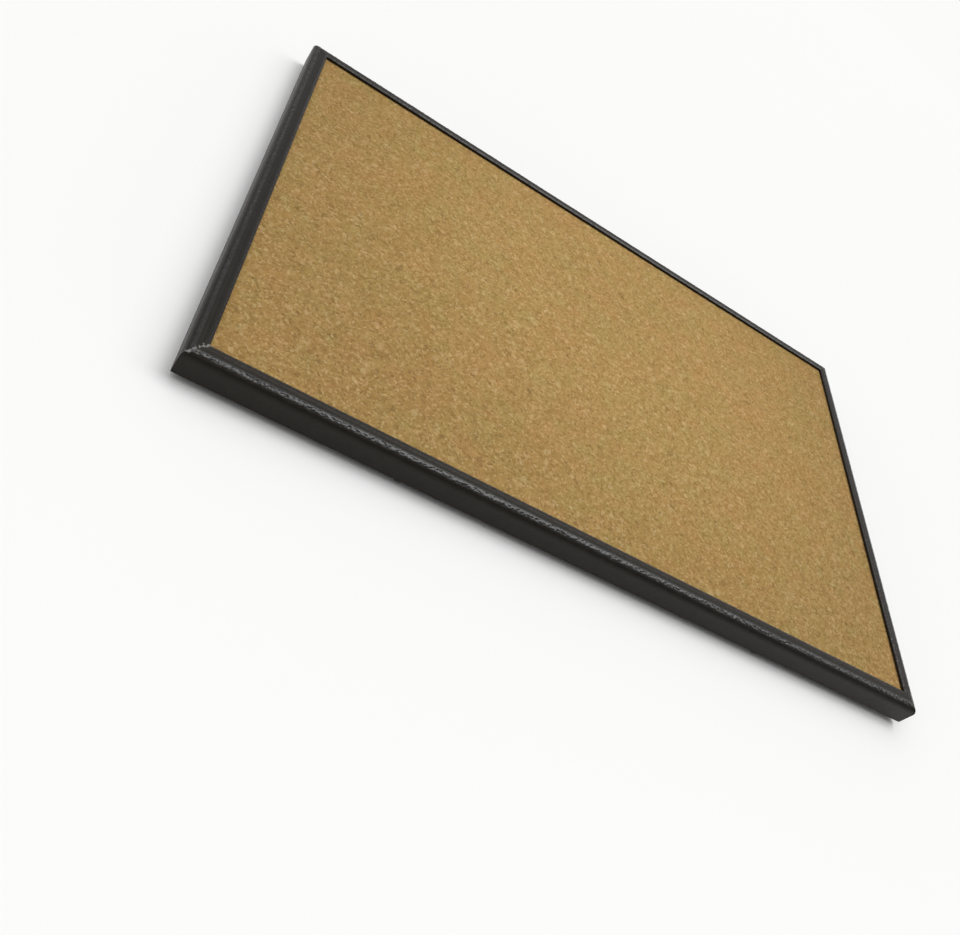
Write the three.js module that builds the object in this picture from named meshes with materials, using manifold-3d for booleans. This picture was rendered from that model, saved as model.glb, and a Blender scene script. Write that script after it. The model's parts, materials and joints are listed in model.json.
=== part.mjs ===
// A framed cork pin board, lying on its back with the cork facing up.
// Millimetres. +X runs along the long side, +Y to the edge that is up when it hangs, +Z out of the cork.
// The origin is under the middle of the board, on the surface that its four back pads stand on.
import * as THREE from "three";
import { mergeVertices } from "three/addons/utils/BufferGeometryUtils.js";
import Module from "manifold-3d";

const wasm = await Module();
wasm.setup();

// Overall outline of the frame
const boardLength = 600;
const boardWidth = 400;

// Moulding section, from the outer wall in to the edge of the lip
const mouldingWidth = 13;
const lipOverhang = 5.5;
const lipEdgeHeight = 1.9;
const innerBeadWidth = 4.8;
const innerBeadRise = 0.3;
const innerBeadBulge = 0.75;
const outerBeadWidth = 5.65;
const outerBeadFall = 1.45;
const outerBeadBulge = 0.6;
const shoulderFall = 4.75;
const shoulderBulge = 0.68;
const mitreGap = 0.15;

// Sheets held in the rebate, from the back to the face
const backRecess = 0.2;
const backingThickness = 3;
const coreThickness = 10;
const corkThickness = 4;
const glueLine = 0.2;
const sheetClearance = 0.5;
const lipClearance = 0.3;

// V-shaped joint nails, stacked in each mitre
const nailArm = 4;
const nailSteel = 0.8;
const nailHeight = 7;
const nailSink = 0.5;
const nailGap = 0.3;
const nailClearance = 0.2;

// Round-head wood screws
const screwRadius = 1.25;
const screwLength = 10;
const screwTipLength = 2.5;
const screwHeadRadius = 2.6;
const screwHeadHeight = 1.7;
const screwHeadEdge = 0.6;
const recessWidth = 0.8;
const recessLength = 3;
const recessDepth = 0.9;
const screwClearance = 0.2;

// Turn buttons that hold the back in
const buttonReach = 15;
const buttonTipRadius = 2.6;
const buttonThickness = 1.2;
const buttonMargin = 0.25;
const buttonSpacing = 300;

// D-ring hangers
const wireRadius = 0.9;
const ringWidth = 15;
const ringStraight = 3;
const ringCornerRadius = 1.8;
const ringJointGap = 0.4;
const strapThickness = 0.8;
const strapWidth = 7;
const strapReach = 17;
const loopClearance = 0.25;
const hangerDrop = 120;

// Rubber pads on the back
const padRadius = 5;
const padFaceRadius = 3.2;
const padRound = 2;
const padMargin = 1;
const padFloorClearance = 0.4;

// Gap between a plate or pad and the face it is fixed to
const seatGap = 0.2;

// Fineness of round shapes
const beadSegments = 7;
const roundSegments = 20;
const halfTurnSegments = 12;
const padSegments = 4;
const wireSides = 8;
const ringSteps = 44;

// Places that follow from the sizes above
const wall = mouldingWidth - lipOverhang;
const loopInnerRadius = wireRadius + loopClearance;
const loopOuterRadius = loopInnerRadius + strapThickness;
const railBack = padFloorClearance + 2 * loopOuterRadius + seatGap;
const backingBack = railBack + backRecess;
const coreBack = backingBack + backingThickness + glueLine;
const corkBack = coreBack + coreThickness + glueLine;
const lipUnderside = corkBack + corkThickness + lipClearance;
const lipEdgeTop = lipUnderside + lipEdgeHeight;
const grooveTop = lipEdgeTop + innerBeadRise;
const beadEdgeTop = grooveTop - outerBeadFall;
const wallTop = beadEdgeTop - shoulderFall;
const sheetInset = wall + sheetClearance;
const screwInset = wall / 2;
const plateTop = railBack - seatGap;
const quarterTurn = Math.PI / 2;

// Finishes
const blackPaint = { color: 0x2e2d2b, roughness: 0.45, metalness: 0 };
const corkFinish = { color: 0xb18d58, roughness: 0.95, metalness: 0 };
const softboardFinish = { color: 0xa98f6b, roughness: 1, metalness: 0 };
const hardboardFinish = { color: 0x6f4d30, roughness: 0.75, metalness: 0 };
const nailFinish = { color: 0x8f9296, roughness: 0.4, metalness: 1 };
const zincFinish = { color: 0xb8bbbe, roughness: 0.32, metalness: 1 };
const blackedFinish = { color: 0x2b2b2d, roughness: 0.42, metalness: 0.5 };
const rubberFinish = { color: 0x2a2a2b, roughness: 0.8, metalness: 0 };

const board = new THREE.Group();

function addPiece(parent, name, geometry, finish, x = 0, y = 0) {
  const mesh = new THREE.Mesh(geometry, new THREE.MeshStandardMaterial(finish));
  mesh.name = name;
  mesh.position.set(x, y, 0);
  parent.add(mesh);
}

// Closed mesh to solid, with the triangles that shrink to a line on a lathe's axis left out
function toSolid(geometry) {
  const bare = geometry.clone();
  bare.deleteAttribute("normal");
  bare.deleteAttribute("uv");
  const merged = mergeVertices(bare);
  const corners = merged.index.array;
  const kept = [];
  for (let i = 0; i < corners.length; i += 3) {
    const [a, b, c] = corners.slice(i, i + 3);
    if (a !== b && b !== c && c !== a) {
      kept.push(a, b, c);
    }
  }
  const vertProperties = merged.attributes.position.array;
  const triVerts = new Uint32Array(kept);
  return new wasm.Manifold(new wasm.Mesh({ numProp: 3, vertProperties, triVerts }));
}

function toGeometry(solid) {
  const mesh = solid.getMesh();
  const geometry = new THREE.BufferGeometry();
  geometry.setAttribute("position", new THREE.BufferAttribute(mesh.vertProperties, 3));
  geometry.setIndex(new THREE.BufferAttribute(mesh.triVerts, 1));
  geometry.computeVertexNormals();
  return geometry;
}

function cut(geometry, tools) {
  const solid = tools.reduce((left, tool) => left.subtract(toSolid(tool)), toSolid(geometry));
  return toGeometry(solid);
}

// Section drawn as (in from the wall, up), run along X and centred there
function runAlong(section, length) {
  const settings = { depth: length, bevelEnabled: false, curveSegments: halfTurnSegments / 2 };
  const geometry = new THREE.ExtrudeGeometry(section, settings);
  geometry.translate(0, 0, -length / 2);
  const turn = new THREE.Matrix4().set(0, 0, 1, 0, 1, 0, 0, 0, 0, 1, 0, 0, 0, 0, 0, 1);
  return geometry.applyMatrix4(turn);
}

// Flat outline drawn as (x, y), standing from one height to another
function standUp(outline, bottom, top) {
  const settings = { depth: top - bottom, bevelEnabled: false, curveSegments: halfTurnSegments / 2 };
  return new THREE.ExtrudeGeometry(outline, settings).translate(0, 0, bottom);
}

// Profile drawn as (radius, up), turned about Z
function turned(profile) {
  const points = profile.map(([radius, up]) => new THREE.Vector2(radius, up));
  return new THREE.LatheGeometry(points, roundSegments).rotateX(quarterTurn);
}

function uprightCylinder(radius, bottom, top) {
  const cylinder = new THREE.CylinderGeometry(radius, radius, top - bottom, roundSegments);
  return cylinder.rotateX(quarterTurn).translate(0, 0, (bottom + top) / 2);
}

// Arc from the path's end to (x, y), standing out to the left of the way it runs
function bulgeTo(path, x, y, bulge) {
  const start = path.currentPoint.clone();
  const end = new THREE.Vector2(x, y);
  const chord = end.clone().sub(start);
  const radius = chord.lengthSq() / (8 * bulge) + bulge / 2;
  const left = new THREE.Vector2(-chord.y, chord.x).normalize();
  const centre = start.clone().lerp(end, 0.5).addScaledVector(left, bulge - radius);
  const from = start.clone().sub(centre).angle();
  const to = end.clone().sub(centre).angle();
  const arc = new THREE.EllipseCurve(centre.x, centre.y, radius, radius, from, to, true);
  for (const point of arc.getPoints(beadSegments).slice(1)) {
    path.lineTo(point.x, point.y);
  }
}

// Frame moulding: flat wall, rounded shoulder, two beads with a groove between them, lip and rebate
function mouldingSection() {
  const section = new THREE.Shape();
  section.moveTo(0, railBack);
  section.lineTo(0, wallTop);
  bulgeTo(section, mouldingWidth - innerBeadWidth - outerBeadWidth, beadEdgeTop, shoulderBulge);
  bulgeTo(section, mouldingWidth - innerBeadWidth, grooveTop, outerBeadBulge);
  bulgeTo(section, mouldingWidth, lipEdgeTop, innerBeadBulge);
  section.lineTo(mouldingWidth, lipUnderside);
  section.lineTo(wall, lipUnderside);
  section.lineTo(wall, railBack);
  section.closePath();
  return section;
}

// One rail with its outer wall on y = 0, each end slanted so that it meets the next rail at 45 degrees
function mitredRail(length) {
  const rail = runAlong(mouldingSection(), length);
  const position = rail.attributes.position;
  for (let i = 0; i < position.count; i += 1) {
    const reach = length / 2 - position.getY(i) - mitreGap;
    position.setX(i, Math.sign(position.getX(i)) * reach);
  }
  return rail;
}

// Plan of a joint nail, or of its slot, with the frame's outer corner on the origin
function nailPlan(clearance) {
  const near = (wall - nailArm) / 2 - clearance;
  const far = (wall + nailArm) / 2 + clearance;
  const inner = (wall + nailArm) / 2 - nailSteel - clearance;
  const plan = new THREE.Shape();
  plan.moveTo(far, far);
  plan.lineTo(near, far);
  plan.lineTo(near, inner);
  plan.lineTo(inner, inner);
  plan.lineTo(inner, near);
  plan.lineTo(far, near);
  plan.closePath();
  return plan;
}

const nailLevels = ["rear", "deep"];
const nailPitch = nailHeight + nailGap;

function nailBottom(level) {
  return railBack + nailSink + level * nailPitch;
}

// Slot for the stacked nails, open at the back of the rail
function nailSlot() {
  const top = nailBottom(nailLevels.length - 1) + nailHeight + nailGap;
  return standUp(nailPlan(nailClearance), railBack - nailGap, top);
}

// Screw standing in the rail, with the underside of its head below a plate of the given thickness
function screwHeadTop(plateThickness) {
  return plateTop - plateThickness - screwClearance;
}

function screw(plateThickness) {
  const body = turned([
    [0, -screwHeadHeight],
    [screwHeadRadius / 2, -screwHeadHeight],
    [screwHeadRadius, -screwHeadEdge],
    [screwHeadRadius, 0],
    [screwRadius, 0],
    [screwRadius, screwLength - screwTipLength],
    [0, screwLength],
  ]);
  const slot = new THREE.BoxGeometry(recessLength, recessWidth, 2 * recessDepth);
  slot.translate(0, 0, -screwHeadHeight);
  const crossSlot = slot.clone().rotateZ(quarterTurn);
  return cut(body, [slot, crossSlot]).translate(0, 0, screwHeadTop(plateThickness));
}

function screwHole(plateThickness, along) {
  const top = screwHeadTop(plateThickness) + screwLength + screwClearance;
  const hole = uprightCylinder(screwRadius + screwClearance, railBack - screwClearance, top);
  return hole.translate(along, screwInset, 0);
}

// Turn button about its own screw, pointing in over the back
function turnButton() {
  const headRadius = screwInset - buttonMargin;
  const slant = Math.asin((headRadius - buttonTipRadius) / buttonReach);
  const outline = new THREE.Shape();
  outline.absarc(0, 0, headRadius, Math.PI - slant, slant, false);
  outline.absarc(0, buttonReach, buttonTipRadius, slant, Math.PI - slant, false);
  const hole = new THREE.Path();
  hole.absarc(0, 0, screwRadius + screwClearance, 0, 2 * Math.PI, true);
  outline.holes.push(hole);
  return standUp(outline, plateTop - buttonThickness, plateTop);
}

// Hanger strap: a plate over the rail that rolls into an eye round the ring's straight bar
function hangerStrap() {
  const eyeHeight = plateTop - loopOuterRadius;
  const headRadius = strapWidth / 2;
  const strapEnd = screwInset - headRadius;
  const section = new THREE.Shape();
  section.moveTo(strapEnd, plateTop);
  section.lineTo(strapReach, plateTop);
  section.absarc(strapReach, eyeHeight, loopOuterRadius, quarterTurn, -Math.PI, true);
  section.absarc(strapReach, eyeHeight, loopInnerRadius, -Math.PI, quarterTurn, false);
  section.lineTo(strapEnd, plateTop - strapThickness);
  section.closePath();
  const beyondEye = strapReach + 2 * loopOuterRadius;
  const underEye = plateTop - 3 * loopOuterRadius;
  const overPlate = plateTop + seatGap;
  const plan = new THREE.Shape();
  plan.absarc(0, screwInset, headRadius, Math.PI, 2 * Math.PI, false);
  plan.lineTo(headRadius, beyondEye);
  plan.lineTo(-headRadius, beyondEye);
  plan.closePath();
  const hole = uprightCylinder(screwRadius + screwClearance, underEye, overPlate);
  const wideStrip = toSolid(runAlong(section, 2 * strapWidth));
  const strip = wideStrip.intersect(toSolid(standUp(plan, underEye, overPlate)));
  return toGeometry(strip.subtract(toSolid(hole.translate(0, screwInset, 0))));
}

// D-ring of bent wire, its straight bar in the strap's eye and its butt joint hidden there
function dRing() {
  const side = ringWidth / 2;
  const corner = ringCornerRadius;
  const route = new THREE.Path();
  route.moveTo(ringJointGap / 2, 0);
  route.lineTo(side - corner, 0);
  route.absarc(side - corner, corner, corner, -quarterTurn, 0, false);
  route.lineTo(side, ringStraight);
  route.absarc(0, ringStraight, side, 0, Math.PI, false);
  route.lineTo(-side, corner);
  route.absarc(corner - side, corner, corner, Math.PI, 3 * quarterTurn, false);
  route.lineTo(-ringJointGap / 2, 0);
  const points = route.getSpacedPoints(ringSteps).map(({ x, y }) => new THREE.Vector3(x, y, 0));
  const wire = new THREE.Shape().absarc(0, 0, wireRadius, 0, 2 * Math.PI, false);
  const extrudePath = new THREE.CatmullRomCurve3(points);
  const settings = { steps: ringSteps, curveSegments: wireSides / 2, extrudePath };
  const ring = new THREE.ExtrudeGeometry(wire, settings);
  return ring.translate(0, strapReach, plateTop - loopOuterRadius);
}

// Domed rubber pad with a flat foot
function backPad() {
  const top = backingBack - seatGap;
  const roundWidth = padRadius - padFaceRadius;
  const edge = new THREE.EllipseCurve(padFaceRadius, padRound, roundWidth, padRound, -quarterTurn, 0);
  const edgePoints = edge.getPoints(padSegments).map(({ x, y }) => [x, y]);
  return turned([[0, 0], ...edgePoints, [padRadius, top], [0, top]]);
}

// Sheets in the rebate
function addSheet(name, bottom, thickness, finish) {
  const length = boardLength - 2 * sheetInset;
  const width = boardWidth - 2 * sheetInset;
  const sheet = new THREE.BoxGeometry(length, width, thickness);
  addPiece(board, name, sheet.translate(0, 0, bottom + thickness / 2), finish);
}

addSheet("backing_board", backingBack, backingThickness, hardboardFinish);
addSheet("pin_core", coreBack, coreThickness, softboardFinish);
addSheet("cork_sheet", corkBack, corkThickness, corkFinish);

// Sides in turn, anticlockwise from the bottom: what sits on each, and how far along the rail
const hangerHeight = boardWidth / 2 - hangerDrop;
const buttonOffset = buttonSpacing / 2;
const sides = [
  { name: "bottom", buttons: { bottom_left: -buttonOffset, bottom_right: buttonOffset }, hangers: {} },
  { name: "right", buttons: { right: 0 }, hangers: { right: hangerHeight } },
  { name: "top", buttons: { top_right: -buttonOffset, top_left: buttonOffset }, hangers: {} },
  { name: "left", buttons: { left: 0 }, hangers: { left: -hangerHeight } },
];

sides.forEach(({ name, buttons, hangers }, turn) => {
  const isLong = turn % 2 === 0;
  const length = isLong ? boardLength : boardWidth;
  const depth = isLong ? boardWidth : boardLength;
  const side = new THREE.Group();
  side.rotation.z = turn * quarterTurn;
  board.add(side);
  const edge = new THREE.Group();
  edge.position.y = -depth / 2;
  side.add(edge);

  const slots = [
    nailSlot().translate(-length / 2, 0, 0),
    nailSlot().rotateZ(quarterTurn).translate(length / 2, 0, 0),
  ];
  const buttonHoles = Object.values(buttons).map((along) => screwHole(buttonThickness, along));
  const hangerHoles = Object.values(hangers).map((along) => screwHole(strapThickness, along));
  const rail = cut(mitredRail(length), [...slots, ...buttonHoles, ...hangerHoles]);
  addPiece(edge, `${name}_rail`, rail, blackPaint);

  for (const [place, along] of Object.entries(buttons)) {
    addPiece(edge, `turn_button_${place}`, turnButton(), blackedFinish, along, screwInset);
    addPiece(edge, `turn_button_screw_${place}`, screw(buttonThickness), blackedFinish, along, screwInset);
  }
  for (const [place, along] of Object.entries(hangers)) {
    addPiece(edge, `hanger_strap_${place}`, hangerStrap(), zincFinish, along);
    addPiece(edge, `d_ring_${place}`, dRing(), zincFinish, along);
    addPiece(edge, `hanger_screw_${place}`, screw(strapThickness), zincFinish, along, screwInset);
  }
});

// Corners in turn, anticlockwise from the bottom left: joint nails in the mitre, a pad on the back
const padInset = sheetInset + padMargin + padRadius;
const corners = [
  { name: "bottom_left", x: -boardLength / 2, y: -boardWidth / 2 },
  { name: "bottom_right", x: boardLength / 2, y: -boardWidth / 2 },
  { name: "top_right", x: boardLength / 2, y: boardWidth / 2 },
  { name: "top_left", x: -boardLength / 2, y: boardWidth / 2 },
];

corners.forEach(({ name, x, y }, turn) => {
  const corner = new THREE.Group();
  corner.position.set(x, y, 0);
  corner.rotation.z = turn * quarterTurn;
  board.add(corner);
  nailLevels.forEach((levelName, level) => {
    const nail = standUp(nailPlan(0), nailBottom(level), nailBottom(level) + nailHeight);
    addPiece(corner, `v_nail_${name}_${levelName}`, nail, nailFinish);
  });
  addPiece(corner, `back_pad_${name}`, backPad(), rubberFinish, padInset, padInset);
});

export default board;
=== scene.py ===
"""A framed cork pin board, lying on its back with the cork facing up, dressed for a studio picture.

Metres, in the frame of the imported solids: +X along the long side, +Y to the edge that is up when the
board hangs, +Z out of the cork. Fine meshes stand for the solids that show, and every surface gets its
finish here.
"""

import json
import math

import bmesh
import bpy
import numpy as np
from mathutils import Matrix, Vector


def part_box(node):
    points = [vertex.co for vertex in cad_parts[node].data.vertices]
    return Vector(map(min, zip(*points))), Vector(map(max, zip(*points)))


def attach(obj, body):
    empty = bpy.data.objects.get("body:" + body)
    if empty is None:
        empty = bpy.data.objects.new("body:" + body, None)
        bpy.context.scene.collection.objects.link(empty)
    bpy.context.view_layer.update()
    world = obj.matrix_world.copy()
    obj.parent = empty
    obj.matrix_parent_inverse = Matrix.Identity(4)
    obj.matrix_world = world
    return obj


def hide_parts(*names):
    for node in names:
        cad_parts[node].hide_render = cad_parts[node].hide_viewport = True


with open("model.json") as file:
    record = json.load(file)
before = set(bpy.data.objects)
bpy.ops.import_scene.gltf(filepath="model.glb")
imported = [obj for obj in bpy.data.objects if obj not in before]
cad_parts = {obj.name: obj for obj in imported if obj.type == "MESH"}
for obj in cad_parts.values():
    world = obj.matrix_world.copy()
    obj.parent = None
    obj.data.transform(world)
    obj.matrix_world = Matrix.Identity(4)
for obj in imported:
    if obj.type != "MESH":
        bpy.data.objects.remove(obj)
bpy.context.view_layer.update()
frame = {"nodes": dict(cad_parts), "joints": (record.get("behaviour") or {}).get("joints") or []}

MM = 0.001
QUARTER = math.pi / 2

# Moulding section, from the outer wall in to the edge of the lip
LIP_OVERHANG = 5.5 * MM
LIP_EDGE_HEIGHT = 1.9 * MM
LIP_CLEARANCE = 0.3 * MM
INNER_BEAD_WIDTH = 4.8 * MM
INNER_BEAD_RISE = 0.3 * MM
INNER_BEAD_BULGE = 0.75 * MM
OUTER_BEAD_WIDTH = 5.65 * MM
OUTER_BEAD_FALL = 1.45 * MM
OUTER_BEAD_BULGE = 0.6 * MM
SHOULDER_FALL = 4.75 * MM
SHOULDER_BULGE = 0.68 * MM
MITRE_GAP = 0.01 * MM
EDGE_SOFTNESS = 0.4 * MM
MITRE_ROUNDING = 0.22 * MM

# Pebbled skin of the moulding, full on the crowns of its beads and a share of that elsewhere
RAIL_STEP = 0.5 * MM
PEBBLE_SIZE = 1.55 * MM
PEBBLE_HEIGHT = 0.1 * MM
RAIL_SEED = 11
WALL_RELIEF = 0.2
BEAD_RELIEF = 0.25
LIP_CROWN_RELIEF = 0.8
CROWN_PLACE = 4.4 * MM
CROWN_WIDTH = 2.0 * MM
LIP_CROWN_PLACE = 11.9 * MM
LIP_CROWN_WIDTH = 1.2 * MM
CROWN_CORE = 0.4 * MM

# Chips along the mitres, most of them about the corner that has been knocked
CHIP_REACH = 4.2 * MM
KNOCK_NEAR = 12 * MM
KNOCK_FAR = 40 * MM

# Cork face
CORK_STEP = 1.55 * MM
CORK_HUMP = 3.5 * MM
CORK_PIT_DEPTH = 0.09 * MM
CORK_SEED = 5
# Painted pool of light on the cork: brightest near this spot, turning darker out to the far distance
LIT_SPOT = (0.03, 0.07, 0.0)
LIT_SPOT_NEAR = 90 * MM
LIT_SPOT_FAR = 340 * MM

# Cork pattern, in cells to the metre
GRANULES = 480.0
CRUMBS = 1050.0
FLECKS = 290.0
SPECKS = 700.0

# Random reliefs are cut off at this many times their usual height
RELIEF_LIMIT = 2.5

# Faces that meet at less than this many degrees are shaded as one surface
SMOOTH_BELOW = 38
RAIL_SMOOTH_BELOW = 40

# Room on the cork's pattern map, as shares of its width or height
MAP_MARGIN = 0.002
MAP_FACE_FOOT = 0.1
MAP_BACK_HEIGHT = 0.06
MAP_LOWER_EDGE_FOOT = 0.066
MAP_UPPER_EDGE_FOOT = 0.076
MAP_EDGE_HEIGHT = 0.008
MAP_END_FOOT = 0.086
MAP_END_WIDTH = 0.49
MAP_END_HEIGHT = 0.01

# Back panel and joint nails
BACKING_EDGE = 0.35 * MM
NAIL_STEEL = 0.8 * MM
NAIL_CLEARANCE = 0.2 * MM

# Rubber pads, with the floor and edge of the dimple as shares of the foot's radius
PAD_FACE_RADIUS = 3.2 * MM
PAD_ROUND = 2 * MM
PAD_FLANGE = 0.5 * MM
PAD_WAIST = 0.25 * MM
PAD_DIMPLE = 0.25 * MM
PAD_DIMPLE_FLOOR = 0.35
PAD_DIMPLE_EDGE = 0.55
PAD_SIDES = 48

# Screws, with the mouth and floor of the recess as shares of its size
SCREW_RADIUS = 1.25 * MM
SCREW_CORE_RADIUS = 0.95 * MM
SCREW_PITCH = 1.1 * MM
SCREW_NECK = 1.6 * MM
SCREW_TIP = 2.5 * MM
SCREW_POINT_RADIUS = 0.04 * MM
SCREW_CLEARANCE = 0.2 * MM
SCREW_HEAD_HEIGHT = 1.7 * MM
SCREW_HEAD_EDGE = 0.5 * MM
SCREW_HEAD_CHAMFER = 0.1 * MM
SCREW_DOME_START = 0.12
SCREW_SIDES = 40
SCREW_TURN_STEP = 0.7
HOLE_SIDES = 28
THREAD_STEPS = 8
THREAD_STEEPNESS = 2.6
RECESS_LENGTH = 3.0 * MM
RECESS_WIDTH = 0.8 * MM
RECESS_DEPTH = 0.9 * MM
RECESS_MOUTH = 1.1
RECESS_FLOOR = 0.75

# Turn buttons
BUTTON_MARGIN = 0.25 * MM
BUTTON_REACH = 15 * MM
BUTTON_TIP_RADIUS = 2.6 * MM
BUTTON_EDGE = 0.25 * MM
BUTTON_RIM = 1.3 * MM
BUTTON_DISH_INSET = 1.6 * MM
BUTTON_DISH_DEPTH = 0.2 * MM
BUTTON_EYE_LAND = 0.3 * MM

# D-ring hangers
WIRE_RADIUS = 0.9 * MM
WIRE_SIDES = 16
RING_WIDTH = 15 * MM
RING_STRAIGHT = 3 * MM
RING_CORNER = 1.8 * MM
RING_JOINT_GAP = 0.4 * MM
STRAP_THICKNESS = 0.8 * MM
STRAP_WIDTH = 7 * MM
STRAP_EDGE = 0.12 * MM
EYE_TURN = 1.5 * math.pi
LOOP_CLEARANCE = 0.25 * MM

# Floor and light, where level 1 alone would show a white sheet facing the light as white
FLOOR_REACH = 30.0
SKY_LEVELS = [(0.0, 0.30), (0.42, 0.26), (0.60, 0.55), (1.0, 1.0)]
SKY_STRENGTH = 1.42
SKY_BRIGHT_WAY = (-0.6, 0.8, 0.0)
SKY_DIM_SIDE = 0.28
SKY_BRIGHT_SIDE = 1.05
HAZE_STRENGTH = 0.96
HAZE_FADES_FROM = 0.12
HAZE_FADES_TO = 0.32
OVERHEAD_WAY = (0.30, 0.21, 0.93)
OVERHEAD_SPREAD = 32
OVERHEAD_LEVEL = 0.31
FAR_END_WAY = (0.70, 0.16, 0.69)
FAR_END_SPREAD = 30
FAR_END_LEVEL = 0.125

# Camera, from a fit to the board's corners and edges in the 960 x 935 picture
CAMERA_PLACE = (-0.3359, -0.6130, 0.4303)
CAMERA_AIM = (0.34656, 0.70900, -0.61418)
CAMERA_ROLL = math.radians(44.15)
FOCAL_PIXELS = 1001.6
PICTURE_WIDTH = 960
PICTURE_HEIGHT = 935
OPTICAL_CENTRE_ROW = 430
SENSOR_WIDTH = 36

# Names of the sides, corners and fittings, anticlockwise from the bottom
SIDES = ["bottom", "right", "top", "left"]
CORNERS = ["bottom_left", "bottom_right", "top_right", "top_left"]
BUTTON_PLACES = ["bottom_left", "bottom_right", "right", "top_right", "top_left", "left"]
SCREWS_ON_SIDE = {
    "bottom": ["turn_button_screw_bottom_left", "turn_button_screw_bottom_right"],
    "right": ["turn_button_screw_right", "hanger_screw_right"],
    "top": ["turn_button_screw_top_right", "turn_button_screw_top_left"],
    "left": ["turn_button_screw_left", "hanger_screw_left"],
}
HANGER_SIDES = ["left", "right"]

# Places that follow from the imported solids
rail_low, rail_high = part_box("bottom_rail")
cork_low, cork_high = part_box("cork_sheet")
half_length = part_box("right_rail")[1].x
half_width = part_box("top_rail")[1].y
moulding_width = rail_high.y - rail_low.y
rail_back = rail_low.z
wall_thickness = moulding_width - LIP_OVERHANG
lip_underside = cork_high.z + LIP_CLEARANCE
lip_edge_top = lip_underside + LIP_EDGE_HEIGHT
groove_top = lip_edge_top + INNER_BEAD_RISE
bead_edge_top = groove_top - OUTER_BEAD_FALL
wall_top = bead_edge_top - SHOULDER_FALL
screw_inset = wall_thickness / 2
screw_bore = SCREW_RADIUS + SCREW_CLEARANCE
joint_place = {joint["child"]: Vector(joint["pos_m"]) for joint in frame["joints"]}


# Finishes


class Nodes:
    """Short calls for the nodes of one tree."""

    def __init__(self, tree, place):
        self.tree = tree
        self.place = self.add("ShaderNodeTexCoord", {}, place)

    def feed(self, socket, value):
        if isinstance(value, bpy.types.NodeSocket):
            self.tree.links.new(value, socket)
        else:
            socket.default_value = value

    def add(self, kind, inputs, output=0, **settings):
        node = self.tree.nodes.new(kind)
        for key, value in settings.items():
            setattr(node, key, value)
        for key, value in inputs.items():
            self.feed(node.inputs[key], value)
        return node.outputs[output]

    def noise(self, scale, detail=2.0, place=None, output="Fac"):
        inputs = {"Vector": place or self.place, "Scale": scale, "Detail": detail}
        return self.add("ShaderNodeTexNoise", inputs, output)

    def cells(self, scale, place=None, output="Color", feature="F1"):
        inputs = {"Vector": place or self.place, "Scale": scale}
        return self.add("ShaderNodeTexVoronoi", inputs, output, feature=feature)

    def part(self, colour, channel):
        return self.add("ShaderNodeSeparateColor", {"Color": colour}, channel)

    def grey(self, value):
        return self.add("ShaderNodeCombineColor", {0: value, 1: value, 2: value})

    def math(self, operation, a, b=0.0):
        return self.add("ShaderNodeMath", {0: a, 1: b}, operation=operation)

    def total(self, *terms):
        """The sum of values, each times its share."""
        scaled = [self.math("MULTIPLY", value, share) for value, share in terms]
        result = scaled[0]
        for value in scaled[1:]:
            result = self.math("ADD", result, value)
        return result

    def apart(self, a, b):
        return self.math("ABSOLUTE", self.math("SUBTRACT", a, b))

    def distance_to(self, point):
        inputs = {0: self.place, 1: point}
        return self.add("ShaderNodeVectorMath", inputs, "Value", operation="DISTANCE")

    def remap(self, value, low, high, to_low=0.0, to_high=1.0):
        inputs = {"Value": value, "From Min": low, "From Max": high, "To Min": to_low, "To Max": to_high}
        return self.add("ShaderNodeMapRange", inputs, interpolation_type="SMOOTHSTEP")

    def ramp(self, value, stops):
        output = self.add("ShaderNodeValToRGB", {"Fac": value}, "Color")
        elements = output.node.color_ramp.elements
        while len(elements) < len(stops):
            elements.new(0.5)
        for element, (position, colour) in zip(elements, stops):
            element.position = position
            element.color = (*colour, 1.0)
        return output

    def mix(self, share, a, b, blend="MIX"):
        settings = {"data_type": "RGBA", "blend_type": blend}
        colours = [c if isinstance(c, bpy.types.NodeSocket) else (*c, 1.0) for c in (a, b)]
        return self.add("ShaderNodeMix", {0: share, 6: colours[0], 7: colours[1]}, 2, **settings)

    def bump(self, height, distance, strength=1.0, under=None):
        inputs = {"Height": height, "Distance": distance, "Strength": strength}
        if under is not None:
            inputs["Normal"] = under
        return self.add("ShaderNodeBump", inputs)

    def stretched(self, x, y, z):
        return self.add("ShaderNodeMapping", {"Vector": self.place, "Scale": (x, y, z)})

    def shaken(self, scale, reach):
        """The place, shifted about by up to reach, so that cells lose their straight sides."""
        drift = self.noise(scale, 2.0, output="Color")
        inputs = {0: drift, 1: (reach, reach, reach), 2: self.place}
        return self.add("ShaderNodeVectorMath", inputs, operation="MULTIPLY_ADD")


class Finish(Nodes):
    """A node material on one Principled shader."""

    def __init__(self, name, **values):
        self.material = bpy.data.materials.new(name)
        self.material.use_nodes = True
        super().__init__(self.material.node_tree, "Object")
        self.shader = self.tree.nodes["Principled BSDF"]
        for socket, value in values.items():
            self.set(socket.replace("_", " "), value)

    def set(self, socket, value):
        self.feed(self.shader.inputs[socket], value)


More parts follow.
